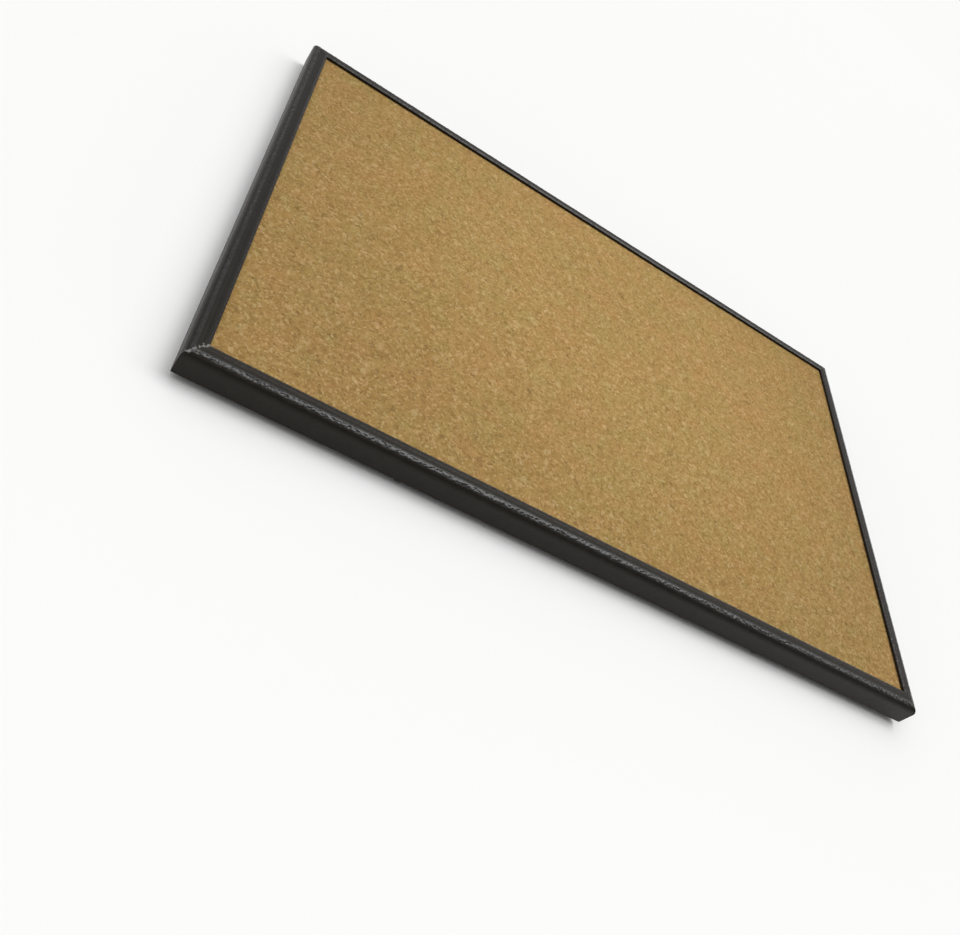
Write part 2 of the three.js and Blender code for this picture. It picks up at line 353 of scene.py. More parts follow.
def cork_finish():
    """Fine agglomerated cork: pressed granules in many tans, pale flecks, dark bark specks and seams, under
    a painted pool of light.
    """
    cork = Finish("fine_cork", Roughness=0.92, Specular_IOR_Level=0.12)
    place = cork.shaken(370.0, 2.4 * MM)
    granule = cork.part(cork.cells(GRANULES, place), "Red")
    crumb = cork.part(cork.cells(CRUMBS, place), "Green")
    fleck = cork.part(cork.cells(FLECKS, place), "Blue")
    speck = cork.part(cork.cells(SPECKS, place), "Red")
    seams = cork.cells(GRANULES, place, "Distance", "DISTANCE_TO_EDGE")
    dust = cork.noise(2600.0, 2.0)
    colour = cork.ramp(
        cork.total((granule, 0.56), (crumb, 0.32), (dust, 0.12)),
        [
            (0.03, (0.265, 0.158, 0.050)),
            (0.25, (0.338, 0.211, 0.070)),
            (0.50, (0.392, 0.250, 0.087)),
            (0.75, (0.440, 0.288, 0.108)),
            (0.98, (0.540, 0.375, 0.165)),
        ],
    )
    pale_fleck = cork.remap(fleck, 0.965, 0.975, 0.0, 0.4)
    pale_speck = cork.remap(speck, 0.90, 0.93, 0.0, 0.5)
    colour = cork.mix(cork.math("MAXIMUM", pale_fleck, pale_speck), colour, (0.620, 0.455, 0.235))
    dark_fleck = cork.remap(fleck, 0.025, 0.015, 0.0, 0.36)
    dark_speck = cork.remap(speck, 0.085, 0.06, 0.0, 0.36)
    colour = cork.mix(cork.math("MAXIMUM", dark_fleck, dark_speck), colour, (0.150, 0.082, 0.030))
    drift = cork.math("MULTIPLY", cork.math("ADD", cork.noise(26.0, 2.0), cork.noise(75.0, 2.0)), 0.5)
    tint = cork.ramp(drift, [(0.38, (1.045, 0.970, 0.955)), (0.62, (0.965, 1.015, 0.955))])
    colour = cork.mix(1.0, colour, tint, "MULTIPLY")
    colour = cork.mix(cork.remap(seams, 0.0, 0.09, 0.22, 0.0), colour, (0.200, 0.118, 0.040))
    # Painted light: the cork is brighter near one spot and darker towards its edges, as under a pool of
    # light
    light_pool = cork.remap(cork.distance_to(LIT_SPOT), LIT_SPOT_NEAR, LIT_SPOT_FAR, 1.04, 0.88)
    cork.set("Base Color", cork.mix(1.0, colour, cork.grey(light_pool), "MULTIPLY"))
    height = cork.math("ADD", cork.remap(seams, 0.0, 0.25), cork.math("MULTIPLY", granule, 0.6))
    cork.set("Normal", cork.bump(height, 0.12 * MM, 0.7, cork.bump(dust, 0.05 * MM, 0.5)))
    return cork.material


def mitre_chips(black, from_end, from_side):
    """Share of bare wood along the mitres, most at the corner that has been knocked."""
    to_corner = black.distance_to((-half_length, -half_width, wall_top))
    knocked = black.remap(to_corner, KNOCK_NEAR, KNOCK_FAR, 1.0, 0.35)
    reach = black.math("MULTIPLY", knocked, CHIP_REACH)
    off_mitre = black.math("DIVIDE", black.apart(from_end, from_side), reach)
    edge = black.math("SUBTRACT", 1.0, black.math("MINIMUM", off_mitre, 1.0))
    ragged = black.math("ADD", black.noise(620.0, 3.0), black.math("MULTIPLY", edge, 0.34))
    return black.math("MULTIPLY", black.remap(ragged, 0.74, 0.86), knocked)


def crown_share(black, in_from_wall):
    """How near a place is to the crown of a bead, where the black is rubbed smooth."""
    off_bead = black.apart(in_from_wall, CROWN_PLACE)
    off_lip = black.apart(in_from_wall, LIP_CROWN_PLACE)
    bead = black.remap(off_bead, CROWN_CORE, CROWN_WIDTH, 1.0, 0.0)
    lip = black.remap(off_lip, CROWN_CORE, LIP_CROWN_WIDTH, 0.6, 0.0)
    return black.math("MAXIMUM", bead, lip)


def moulding_finish():
    """Satin black on a lightly pebbled wood moulding, smooth on its crowns and chipped along the mitres."""
    black = Finish("satin_black")
    sides = black.add("ShaderNodeSeparateXYZ", {"Vector": black.place}).node.outputs
    from_end = black.math("SUBTRACT", half_length, black.math("ABSOLUTE", sides["X"]))
    from_side = black.math("SUBTRACT", half_width, black.math("ABSOLUTE", sides["Y"]))
    in_from_wall = black.math("MINIMUM", from_end, from_side)
    on_top = black.remap(sides["Z"], bead_edge_top - 2 * MM, bead_edge_top)
    fine = black.noise(950.0, 3.0)
    mottle = black.noise(140.0, 4.0)
    colour = black.ramp(mottle, [(0.3, (0.0062, 0.0050, 0.0040)), (0.7, (0.0104, 0.0085, 0.0067))])
    bared = black.math("MULTIPLY", mitre_chips(black, from_end, from_side), on_top)
    black.set("Base Color", black.mix(bared, colour, (0.240, 0.243, 0.230)))
    crown = black.math("MULTIPLY", crown_share(black, in_from_wall), on_top)
    rough = black.remap(fine, 0.3, 0.7, 0.37, 0.50)
    black.set("Roughness", black.math("SUBTRACT", rough, black.math("MULTIPLY", crown, 0.22)))
    black.set("Specular IOR Level", black.remap(crown, 0.0, 1.0, 0.23, 0.47))
    black.set("Specular Tint", black.mix(crown, (1.0, 0.94, 0.84), (0.96, 1.0, 1.0)))
    grain = black.bump(fine, 0.07 * MM, 0.9)
    black.set("Normal", black.bump(black.noise(2600.0, 2.0), 0.02 * MM, 0.5, grain))
    return black.material


def hardboard_finish():
    """Smooth brown hardboard: pressed fibres, pale and dark flecks and a few paler patches."""
    board = Finish("brown_hardboard", Specular_IOR_Level=0.3)
    inputs = {"Vector": board.place, "Scale": 900.0, "Detail": 8.0, "Distortion": 1.2}
    fibres = board.add("ShaderNodeTexNoise", inputs, "Fac")
    colour = board.ramp(
        fibres,
        [(0.28, (0.095, 0.045, 0.018)), (0.50, (0.148, 0.072, 0.029)), (0.74, (0.225, 0.118, 0.051))],
    )
    fleck = board.part(board.cells(1500.0, board.shaken(1600.0, 0.9 * MM)), "Red")
    colour = board.mix(board.remap(fleck, 0.88, 0.94, 0.0, 0.4), colour, (0.310, 0.175, 0.082))
    colour = board.mix(board.remap(fleck, 0.12, 0.06, 0.0, 0.45), colour, (0.052, 0.024, 0.010))
    patch = board.remap(board.noise(16.0, 4.0), 0.35, 0.75, 0.0, 0.35)
    board.set("Base Color", board.mix(patch, colour, (0.205, 0.106, 0.045)))
    board.set("Roughness", board.remap(fibres, 0.3, 0.7, 0.48, 0.70))
    board.set("Normal", board.bump(fibres, 0.05 * MM, 0.6))
    return board.material


def softboard_finish():
    """Pale soft fibreboard, matt and woolly."""
    board = Finish("soft_fibreboard", Roughness=0.96, Specular_IOR_Level=0.1)
    fibres = board.noise(620.0, 6.0)
    colour = board.ramp(fibres, [(0.3, (0.250, 0.165, 0.082)), (0.7, (0.500, 0.370, 0.215))])
    board.set("Base Color", colour)
    board.set("Normal", board.bump(fibres, 0.3 * MM, 0.8))
    return board.material


def steel_finish(name, dark, light, rough_low, rough_high, brush):
    """Plated or bare steel: faint crystal bloom, brushed lines and small dull spots."""
    steel = Finish(name, Metallic=1.0)
    bloom = steel.noise(420.0, 4.0)
    lines = steel.noise(1500.0, 2.0, steel.stretched(1.0, brush, 1.0))
    shade = steel.total((bloom, 0.6), (lines, 0.4))
    colour = steel.ramp(shade, [(0.3, dark), (0.7, light)])
    spots = steel.remap(steel.noise(260.0, 2.0), 0.62, 0.72, 0.0, 0.35)
    steel.set("Base Color", steel.mix(spots, colour, tuple(0.7 * c for c in dark)))
    steel.set("Roughness", steel.remap(shade, 0.3, 0.7, rough_low, rough_high))
    steel.set("Normal", steel.bump(lines, 0.015 * MM, 0.5))
    return steel.material


def lacquer_finish(name, rough_low, rough_high):
    """Black lacquer over steel, rubbed to grey in places, with fine dust in it."""
    lacquer = Finish(name, Specular_IOR_Level=0.45)
    dust = lacquer.noise(900.0, 4.0)
    rubbed = lacquer.remap(lacquer.noise(330.0, 4.0), 0.6, 0.75, 0.0, 0.5)
    colour = lacquer.ramp(dust, [(0.3, (0.012, 0.012, 0.013)), (0.75, (0.030, 0.030, 0.032))])
    lacquer.set("Base Color", lacquer.mix(rubbed, colour, (0.075, 0.074, 0.072)))
    lacquer.set("Metallic", lacquer.math("MULTIPLY", rubbed, 0.6))
    lacquer.set("Roughness", lacquer.remap(dust, 0.3, 0.7, rough_low, rough_high))
    lacquer.set("Normal", lacquer.bump(lacquer.noise(2400.0, 2.0), 0.02 * MM, 0.6))
    return lacquer.material


def rubber_finish():
    """Matt black rubber with a dusty bloom."""
    rubber = Finish("matt_rubber", Specular_IOR_Level=0.3)
    dust = rubber.noise(700.0, 4.0)
    colour = rubber.ramp(dust, [(0.35, (0.014, 0.014, 0.015)), (0.75, (0.040, 0.039, 0.038))])
    rubber.set("Base Color", colour)
    rubber.set("Roughness", rubber.remap(dust, 0.3, 0.7, 0.62, 0.86))
    rubber.set("Normal", rubber.bump(rubber.noise(2200.0, 2.0), 0.03 * MM, 0.6))
    return rubber.material


def floor_finish():
    """Plain pale floor."""
    floor = Finish("pale_floor", Roughness=0.9, Specular_IOR_Level=0.0)
    stops = [(0.3, (0.905, 0.905, 0.90)), (0.7, (0.925, 0.925, 0.92))]
    floor.set("Base Color", floor.ramp(floor.noise(0.6, 2.0), stops))
    return floor.material


finishes = {
    "black_moulding": moulding_finish(),
    "cork": cork_finish(),
    "softboard": softboard_finish(),
    "hardboard": hardboard_finish(),
    "nail_steel": steel_finish("nail_steel", (0.25, 0.25, 0.26), (0.42, 0.42, 0.43), 0.32, 0.5, 0.1),
    "black_plate": lacquer_finish("black_plate", 0.34, 0.52),
    "black_screw": lacquer_finish("black_screw", 0.28, 0.46),
    "zinc_plate": steel_finish("zinc_plate", (0.48, 0.49, 0.51), (0.68, 0.69, 0.70), 0.24, 0.42, 0.15),
    "zinc_screw": steel_finish("zinc_screw", (0.46, 0.47, 0.49), (0.70, 0.71, 0.72), 0.2, 0.36, 0.6),
    "zinc_wire": steel_finish("zinc_wire", (0.58, 0.59, 0.60), (0.74, 0.75, 0.76), 0.12, 0.26, 0.4),
    "pad_rubber": rubber_finish(),
}


# Meshes


def mesh_of(name, points, faces):
    """A mesh from points and faces, with its faces turned out."""
    mesh = bpy.data.meshes.new(name)
    mesh.from_pydata([tuple(p) for p in points], [], faces)
    shape = bmesh.new()
    shape.from_mesh(mesh)
    bmesh.ops.recalc_face_normals(shape, faces=shape.faces)
    shape.to_mesh(mesh)
    shape.free()
    return mesh


def ring_faces(index):
    """Four-sided faces between neighbouring closed rings of point numbers."""
    here, there = index[:-1], index[1:]
    quads = np.stack([here, np.roll(here, -1, 1), np.roll(there, -1, 1), there], -1)
    return quads.reshape(-1, 4).tolist()


def row_faces(index):
    """Four-sided faces between neighbouring open rows of point numbers."""
    here, there = index[:-1], index[1:]
    quads = np.stack([here[:, :-1], here[:, 1:], there[:, 1:], there[:, :-1]], -1)
    return quads.reshape(-1, 4).tolist()


def loft(rings, looped=False):
    """Points and faces of a skin over rings of equal count, capped unless the last ring joins the first."""
    rings = np.asarray(rings, float)
    index = np.arange(rings.shape[0] * rings.shape[1]).reshape(rings.shape[:2])
    caps = [] if looped else [index[0][::-1].tolist(), index[-1].tolist()]
    if looped:
        index = np.vstack([index, index[:1]])
    return rings.reshape(-1, 3), ring_faces(index) + caps


def moved(points, matrix):
    turn = np.array(matrix.to_3x3())
    return np.asarray(points) @ turn.T + np.array(matrix.translation)


def shaped(mesh, name, modifiers):
    """The mesh with modifiers run on it. Each is its kind and its settings."""
    carrier = bpy.data.objects.new(name, mesh)
    bpy.context.scene.collection.objects.link(carrier)
    for kind, settings in modifiers:
        modifier = carrier.modifiers.new(kind.lower(), kind)
        for key, value in settings.items():
            setattr(modifier, key, value)
    bpy.context.view_layer.update()
    graph = bpy.context.evaluated_depsgraph_get()
    result = bpy.data.meshes.new_from_object(carrier.evaluated_get(graph))
    bpy.data.objects.remove(carrier)
    return result


def cut_from(mesh, name, cutters):
    """The mesh less closed cutters, given as (points, faces), that don't meet each other."""
    points, faces = [], []
    for cutter_points, cutter_faces in cutters:
        start = len(points)
        points += [tuple(p) for p in cutter_points]
        faces += [[start + i for i in face] for face in cutter_faces]
    tool = bpy.data.objects.new(name + "_cutter", mesh_of(name + "_cutter", points, faces))
    bpy.context.scene.collection.objects.link(tool)
    settings = {"object": tool, "operation": "DIFFERENCE", "solver": "MANIFOLD"}
    result = shaped(mesh, name + "_uncut", [("BOOLEAN", settings)])
    bpy.data.objects.remove(tool)
    return result


def add_piece(name, mesh, body, slot, node, smooth_degrees=SMOOTH_BELOW):
    """Shows a mesh as the piece that stands for a node, moving with its body."""
    mesh.name = name
    mesh.materials.clear()
    mesh.materials.append(finishes[slot])
    mesh.shade_smooth()
    mesh.set_sharp_from_angle(angle=math.radians(smooth_degrees))
    piece = bpy.data.objects.new(name, mesh)
    bpy.context.scene.collection.objects.link(piece)
    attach(piece, body)
    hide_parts(node)


def keep_node(node, slot):
    """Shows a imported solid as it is, with a finish of its own."""
    shown = frame["nodes"][node]
    shown.data.materials.clear()
    shown.data.materials.append(finishes[slot])


def arc_points(start, end, bulge, steps):
    """Points after start, up to end, on an arc that stands out to the left of the way it runs."""
    start, end = np.array(start), np.array(end)
    chord = end - start
    radius = chord @ chord / (8 * bulge) + bulge / 2
    left = np.array((-chord[1], chord[0])) / np.linalg.norm(chord)
    centre = (start + end) / 2 + left * (bulge - radius)
    first = math.atan2(*(start - centre)[::-1])
    last = math.atan2(*(end - centre)[::-1])
    if last > first:
        last -= 2 * math.pi
    turns = np.linspace(first, last, steps + 1)[1:]
    return centre + radius * np.stack([np.cos(turns), np.sin(turns)], 1)


def line_points(start, end, steps):
    """Points after start, up to end, on a straight line."""
    shares = np.linspace(0, 1, steps + 1)[1:, None]
    return np.array(start) * (1 - shares) + np.array(end) * shares


def corners_of(x, y):
    return [(-x, -y), (x, -y), (x, y), (-x, y)]


def turns_round(sides):
    return np.arange(sides) * 2 * math.pi / sides


def ring_at(radius, height, turns):
    """A ring of points about Z, with one radius for all or one for each."""
    return np.column_stack([radius * np.cos(turns), radius * np.sin(turns), np.full(len(turns), height)])


def softened(outline, corners, reach, steps=4):
    """A closed outline with a small curve in place of each corner that is listed."""
    result = []
    for i, corner in enumerate(outline):
        if i not in corners:
            result.append(corner)
            continue
        ends = []
        for other in (outline[i - 1], outline[(i + 1) % len(outline)]):
            way = other - corner
            ends.append(corner + way * min(0.5, reach / np.linalg.norm(way[:2])))
        for t in np.linspace(0, 1, steps):
            result.append((1 - t) ** 2 * ends[0] + 2 * t * (1 - t) * corner + t * t * ends[1])
    return np.array(result)


def relief_field(length, width, cell, size, seed):
    """A seeded random relief of unit strength over a rectangle, with humps of about the size given."""
    rows = math.ceil(length / cell) + 2
    columns = math.ceil(width / cell) + 2
    field = np.random.default_rng(seed).standard_normal((rows, columns))
    along = np.fft.fftfreq(rows, cell)[:, None]
    over = np.fft.fftfreq(columns, cell)[None, :]
    band = np.exp(-((along**2 + over**2) * size**2))
    field = np.real(np.fft.ifft2(np.fft.fft2(field) * band))
    field = (field - field.mean()) / field.std()

    def height(x, y):
        u = np.clip(x / cell, 0, rows - 2)
        v = np.clip(y / cell, 0, columns - 2)
        i, j = u.astype(int), v.astype(int)
        s, t = u - i, v - j
        near = field[i, j] * (1 - t) + field[i, j + 1] * t
        far = field[i + 1, j] * (1 - t) + field[i + 1, j + 1] * t
        return np.clip(near * (1 - s) + far * s, -RELIEF_LIMIT, RELIEF_LIMIT)

    return height


def middle_of(node):
    low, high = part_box(node)
    return (low + high) / 2


def side_matrix(turn):
    """From a side's own axes, along the rail and in from its outer wall, to the board's."""
    depth = half_width if turn % 2 == 0 else half_length
    return Matrix.Rotation(turn * QUARTER, 4, "Z") @ Matrix.Translation((0, -depth, 0))


def side_of(place):
    """The turn of the side that a place near the edge belongs to."""
    on_end = half_length - abs(place.x) < half_width - abs(place.y)
    if on_end:
        return 1 if place.x > 0 else 3
    return 2 if place.y > 0 else 0


# Frame rails


def moulding_section():
    """Closed section as (in from the wall, up, share of the surface relief)."""
    bead_edge = moulding_width - INNER_BEAD_WIDTH - OUTER_BEAD_WIDTH
    groove = moulding_width - INNER_BEAD_WIDTH
    outline = [np.array([(0.0, rail_back)])]
    shares = [0.0]

    def go_on(points, share):
        outline.append(points)
        shares.extend([share] * len(points))
        return len(shares) - 1

    def end():
        return outline[-1][-1]

    go_on(line_points(end(), (0, wall_top), 12), WALL_RELIEF)
    go_on(arc_points(end(), (bead_edge, bead_edge_top), SHOULDER_BULGE, 12), WALL_RELIEF)
    go_on(arc_points(end(), (groove, groove_top), OUTER_BEAD_BULGE, 16), BEAD_RELIEF)
    lip_corner = go_on(arc_points(end(), (moulding_width, lip_edge_top), INNER_BEAD_BULGE, 13), BEAD_RELIEF)
    lip_foot = go_on(line_points(end(), (moulding_width, lip_underside), 2), 0.0)
    go_on(line_points(end(), (wall_thickness, lip_underside), 2), 0.0)
    back_edge = go_on(line_points(end(), (wall_thickness, rail_back), 3), 0.0)
    go_on(line_points(end(), (0, rail_back), 3)[:-1], 0.0)
    section = np.column_stack([np.concatenate(outline), shares])
    crown = np.exp(-(((section[:, 0] - CROWN_PLACE) / CROWN_WIDTH) ** 2))
    lip_crown = LIP_CROWN_RELIEF * np.exp(-(((section[:, 0] - LIP_CROWN_PLACE) / LIP_CROWN_WIDTH) ** 2))
    share = np.maximum(section[:, 2], np.maximum(crown, lip_crown))
    section[:, 2] = np.where(section[:, 2] > 0, share, 0)
    return softened(section, (0, lip_corner, lip_foot, back_edge), EDGE_SOFTNESS)


def outward(section):
    """Unit normals of the closed section, which runs up the outer wall and in over the beads."""
    ahead = np.roll(section, -1, 0)[:, :2]
    behind = np.roll(section, 1, 0)[:, :2]
    way = ahead - behind
    normal = np.column_stack([-way[:, 1], way[:, 0]])
    return normal / np.linalg.norm(normal, axis=1, keepdims=True)


def rail_stations(half_run):
    """Places along a rail, close together where its ends are rounded."""
    close = MITRE_ROUNDING * np.array([0.0, 0.12, 0.35, 0.65, 1.0])
    steps = round(2 * (half_run - MITRE_ROUNDING) / RAIL_STEP)
    middle = np.linspace(MITRE_ROUNDING - half_run, half_run - MITRE_ROUNDING, steps + 1)
    return np.concatenate([close[:-1] - half_run, middle, half_run - close[-2::-1]])


def rail_mesh(side, turn):
    """One mitred length of moulding with its pebbled skin and softly rounded ends."""
    section = moulding_section()
    normal = outward(section)
    half_run = half_length if turn % 2 == 0 else half_width
    shortest = half_run - MITRE_GAP - moulding_width
    stations = rail_stations(shortest)
    strides = np.diff(section[:, :2], axis=0, prepend=section[:1, :2])
    girth = np.cumsum(np.linalg.norm(strides, axis=1))
    pebbles = relief_field(2 * half_run, girth[-1], PEBBLE_SIZE / 4, PEBBLE_SIZE, RAIL_SEED + turn)
    height = pebbles(*np.meshgrid(stations + half_run, girth, indexing="ij"))
    sink = (height - RELIEF_LIMIT) * PEBBLE_HEIGHT * section[:, 2]
    to_end = np.clip((shortest - np.abs(stations)) / MITRE_ROUNDING, 0, 1)
    rounding = MITRE_ROUNDING * (1 - np.sqrt(1 - (1 - to_end) ** 2))
    offset = sink - rounding[:, None]
    inward = section[:, 0] + normal[:, 0] * offset
    up = section[:, 1] + normal[:, 1] * offset
    along = stations[:, None] * (half_run - MITRE_GAP - inward) / shortest
    points, faces = loft(np.stack([along, inward, up], -1))
    return mesh_of(side + "_rail", moved(points, side_matrix(turn)), faces)


def nail_slot(corner):
    """Cutter for the stacked joint nails of a corner, open at the back of the rails."""
    low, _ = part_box(f"v_nail_{corner}_rear")
    _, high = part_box(f"v_nail_{corner}_deep")
    sign_x, sign_y = np.sign((low.x, low.y))
    nearest, farthest = np.sort(np.abs([(low.x, low.y), (high.x, high.y)]), axis=0)
    # The nail's angle points at the middle of the board
    inner_x, inner_y = nearest - NAIL_CLEARANCE
    bend_x, bend_y = nearest + NAIL_STEEL + NAIL_CLEARANCE
    outer_x, outer_y = farthest + NAIL_CLEARANCE
    plan = [
        (inner_x, inner_y),
        (outer_x, inner_y),
        (outer_x, bend_y),
        (bend_x, bend_y),
        (bend_x, outer_y),
        (inner_x, outer_y),
    ]
    heights = (rail_back - NAIL_STEEL, high.z + NAIL_CLEARANCE)
    return loft([[(sign_x * x, sign_y * y, z) for x, y in plan] for z in heights])


def screw_hole(node):
    """Cutter for a screw's hole, open at the back of the rail."""
    place = middle_of(node)
    turns = turns_round(HOLE_SIDES)
    heights = (rail_back - SCREW_RADIUS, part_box(node)[1].z + SCREW_CLEARANCE)
    return loft([ring_at(screw_bore, z, turns) + (place.x, place.y, 0) for z in heights])


def add_rails():
    for turn, side in enumerate(SIDES):
        slots = [nail_slot(CORNERS[turn]), nail_slot(CORNERS[(turn + 1) % len(CORNERS)])]
        holes = [screw_hole(screw) for screw in SCREWS_ON_SIDE[side]]
        rail = cut_from(rail_mesh(side, turn), side, slots + holes)
        node = f"{side}_rail"
        add_piece(f"{side}_moulding", rail, "frame", "black_moulding", node, RAIL_SMOOTH_BELOW)


# Sheets in the rebate, and the joint nails


def pitted_face(low, high):
    """Points of a fine grid with shallow pits over a box's upper face, by column and row."""
    columns = round((high.x - low.x) / CORK_STEP)
    rows = round((high.y - low.y) / CORK_STEP)
    x = np.linspace(low.x, high.x, columns + 1)
    y = np.linspace(low.y, high.y, rows + 1)
    grid_x, grid_y = np.meshgrid(x, y, indexing="ij")
    pits = relief_field(high.x - low.x, high.y - low.y, CORK_STEP / 2, CORK_HUMP, CORK_SEED)
    height = pits(grid_x - low.x, grid_y - low.y)
    grid_z = high.z + (height - RELIEF_LIMIT) * CORK_PIT_DEPTH / (2 * RELIEF_LIMIT)
    return np.stack([grid_x, grid_y, grid_z], -1)


def back_faces(rim, columns, rows):
    """Faces of a flat back inside its rim: one strip across it, with a fan of triangles at each end."""
    first = rim[: columns + 1]
    last = rim[columns + rows : 2 * columns + rows + 1][::-1]
    strip = np.stack([first[1:-2], last[1:-2], last[2:-1], first[2:-1]], -1).tolist()
    left_side = np.concatenate([[last[0]], rim[2 * columns + rows + 1 :], [first[0]]])
    right_side = rim[columns : columns + rows + 1]
    fans = [[a, b, first[1]] for a, b in zip(left_side[:-1], left_side[1:])]
    fans += [[a, b, last[-2]] for a, b in zip(right_side[:-1], right_side[1:])]
    fans += [[last[0], first[1], last[1]], [first[-1], last[-2], first[-2]]]
    return strip + [[int(i) for i in fan] for fan in fans]


def granular_sheet(name, low, high):
    """A closed sheet whose upper face is a fine grid with shallow pits."""
    grid = pitted_face(low, high)
    columns, rows = grid.shape[0] - 1, grid.shape[1] - 1
    face = grid.reshape(-1, 3)
    index = np.arange(len(face)).reshape(columns + 1, rows + 1)
    quads = np.stack([index[:-1, :-1], index[1:, :-1], index[1:, 1:], index[:-1, 1:]], -1)
    rim = np.concatenate([index[:-1, 0], index[-1, :-1], index[:0:-1, -1], index[0, :0:-1]])
    foot = face[rim] * (1, 1, 0) + (0, 0, low.z)
    under = np.arange(len(rim)) + len(face)
    walls = np.stack([rim, under, np.roll(under, -1), np.roll(rim, -1)], -1)
    faces = quads.reshape(-1, 4).tolist() + walls.tolist() + back_faces(under, columns, rows)
    return mesh_of(name, np.concatenate([face, foot]), faces)


def map_room(normal):
    """Room on the map for a face that looks this way: left and foot, size, and the axes it shows."""
    wide = 1 - 2 * MAP_MARGIN
    if normal.z > 0.5:
        return (MAP_MARGIN, MAP_FACE_FOOT), (wide, 1 - MAP_FACE_FOOT - MAP_MARGIN), "xy"
    if normal.z < -0.5:
        return (MAP_MARGIN, MAP_MARGIN), (wide, MAP_BACK_HEIGHT), "xy"
    if abs(normal.y) > 0.5:
        foot = MAP_LOWER_EDGE_FOOT if normal.y < 0 else MAP_UPPER_EDGE_FOOT
        return (MAP_MARGIN, foot), (wide, MAP_EDGE_HEIGHT), "xz"
    left = MAP_MARGIN if normal.x < 0 else 0.5 + MAP_MARGIN
    return (left, MAP_END_FOOT), (MAP_END_WIDTH, MAP_END_HEIGHT), "yz"


def add_front_map(mesh, low, high):
    """A map for the sheet's pattern that gives nearly all its room to the upper face."""
    layer = mesh.uv_layers.new(name="OFBake")
    size = high - low
    for polygon in mesh.polygons:
        start, room, axes = map_room(polygon.normal)
        for loop in polygon.loop_indices:
            point = mesh.vertices[mesh.loops[loop].vertex_index].co - low
            shares = [getattr(point, axis) / getattr(size, axis) for axis in axes]
            layer.data[loop].uv = [start[k] + room[k] * shares[k] for k in (0, 1)]


def soft_edged_slab(name, low, high, edge):
    """A sheet with its edges rubbed round."""
    shape = bmesh.new()
    bmesh.ops.create_cube(shape, size=1.0)
    for vertex in shape.verts:
        vertex.co = (low + high) / 2 + vertex.co * (high - low)
    bmesh.ops.bevel(shape, geom=shape.edges[:], offset=edge, segments=3, affect="EDGES", profile=0.5)
    mesh = bpy.data.meshes.new(name)
    shape.to_mesh(mesh)
    shape.free()
    return mesh


def add_sheets():
    cork = granular_sheet("cork_face", cork_low, cork_high)
    add_front_map(cork, cork_low, cork_high)
    add_piece("cork_face", cork, "frame", "cork", "cork_sheet")
    backing = soft_edged_slab("back_panel", *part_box("backing_board"), BACKING_EDGE)
    add_piece("back_panel", backing, "frame", "hardboard", "backing_board")
    keep_node("pin_core", "softboard")


def add_joint_nails():
    for corner in CORNERS:
        for level in ("rear", "deep"):
            keep_node(f"v_nail_{corner}_{level}", "nail_steel")


# Back pads


def pad_mesh(name, radius, top):
    """Turned rubber pad: dimpled foot, rounded side, waist and glued flange."""
    width = radius - PAD_FACE_RADIUS
    waist = radius - PAD_WAIST
    profile = [(PAD_FACE_RADIUS * PAD_DIMPLE_FLOOR, PAD_DIMPLE)]
    profile.append((PAD_FACE_RADIUS * PAD_DIMPLE_EDGE, 0.0))
    for t in np.linspace(-QUARTER, 0, 9):
        profile.append((PAD_FACE_RADIUS + width * math.cos(t), PAD_ROUND + PAD_ROUND * math.sin(t)))
    profile += [(waist, top - 2 * PAD_FLANGE), (waist, top - PAD_FLANGE)]
    profile += [(radius, top - PAD_FLANGE), (radius, top)]
    turns = turns_round(PAD_SIDES)
    return mesh_of(name, *loft([ring_at(r, height, turns) for r, height in profile]))


def add_pads():
    for corner in CORNERS:
        node = f"back_pad_{corner}"
        low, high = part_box(node)
        pad = pad_mesh(node, (high.x - low.x) / 2, high.z)
        pad.transform(Matrix.Translation(((low.x + high.x) / 2, (low.y + high.y) / 2, 0)))
        add_piece(f"rubber_pad_{corner}", pad, "frame", "pad_rubber", node)


# Screws


def screw_rings(head_radius, shank):
    """Rings of a round-head screw from the top of its head, which is lowest, up to its point."""
    turns = turns_round(SCREW_SIDES)
    dome = SCREW_HEAD_HEIGHT - SCREW_HEAD_EDGE
    rings = []
    for t in np.linspace(SCREW_DOME_START, QUARTER, 12):
        rings.append(ring_at(head_radius * math.sin(t), -SCREW_HEAD_EDGE - dome * math.cos(t), turns))
    rings.append(ring_at(head_radius, -SCREW_HEAD_CHAMFER, turns))
    rings.append(ring_at(head_radius - SCREW_HEAD_CHAMFER, 0.0, turns))
    rings.append(ring_at(SCREW_RADIUS, 0.0, turns))
    rings.append(ring_at(SCREW_RADIUS, SCREW_NECK, turns))
    step = SCREW_PITCH / THREAD_STEPS
    for height in np.arange(SCREW_NECK + step, shank, step):
        taper = min(1.0, (shank - height) / SCREW_TIP)
        phase = (height / SCREW_PITCH - turns / (2 * math.pi)) % 1.0
        ridge = np.clip(1 - THREAD_STEEPNESS * np.abs(phase - 0.5), 0, 1)
        thread = SCREW_CORE_RADIUS + (SCREW_RADIUS - SCREW_CORE_RADIUS) * ridge
        rings.append(ring_at(taper * thread + SCREW_POINT_RADIUS, height, turns))
    return rings


def cross_recess():
    """Cutters for the two tapered slots that cross in a screw's head."""
    half, wide = RECESS_LENGTH / 2, RECESS_WIDTH / 2
    mouth_height = -SCREW_HEAD_HEIGHT - RECESS_DEPTH / 2
    floor_height = RECESS_DEPTH - SCREW_HEAD_HEIGHT
    cutters = []
    for plan in (corners_of(half, wide), corners_of(wide, half)):
        mouth = [(x * RECESS_MOUTH, y * RECESS_MOUTH, mouth_height) for x, y in plan]
        floor = [(x * RECESS_FLOOR, y * RECESS_FLOOR, floor_height) for x, y in plan]
        cutters.append(loft([mouth, floor]))
    return cutters


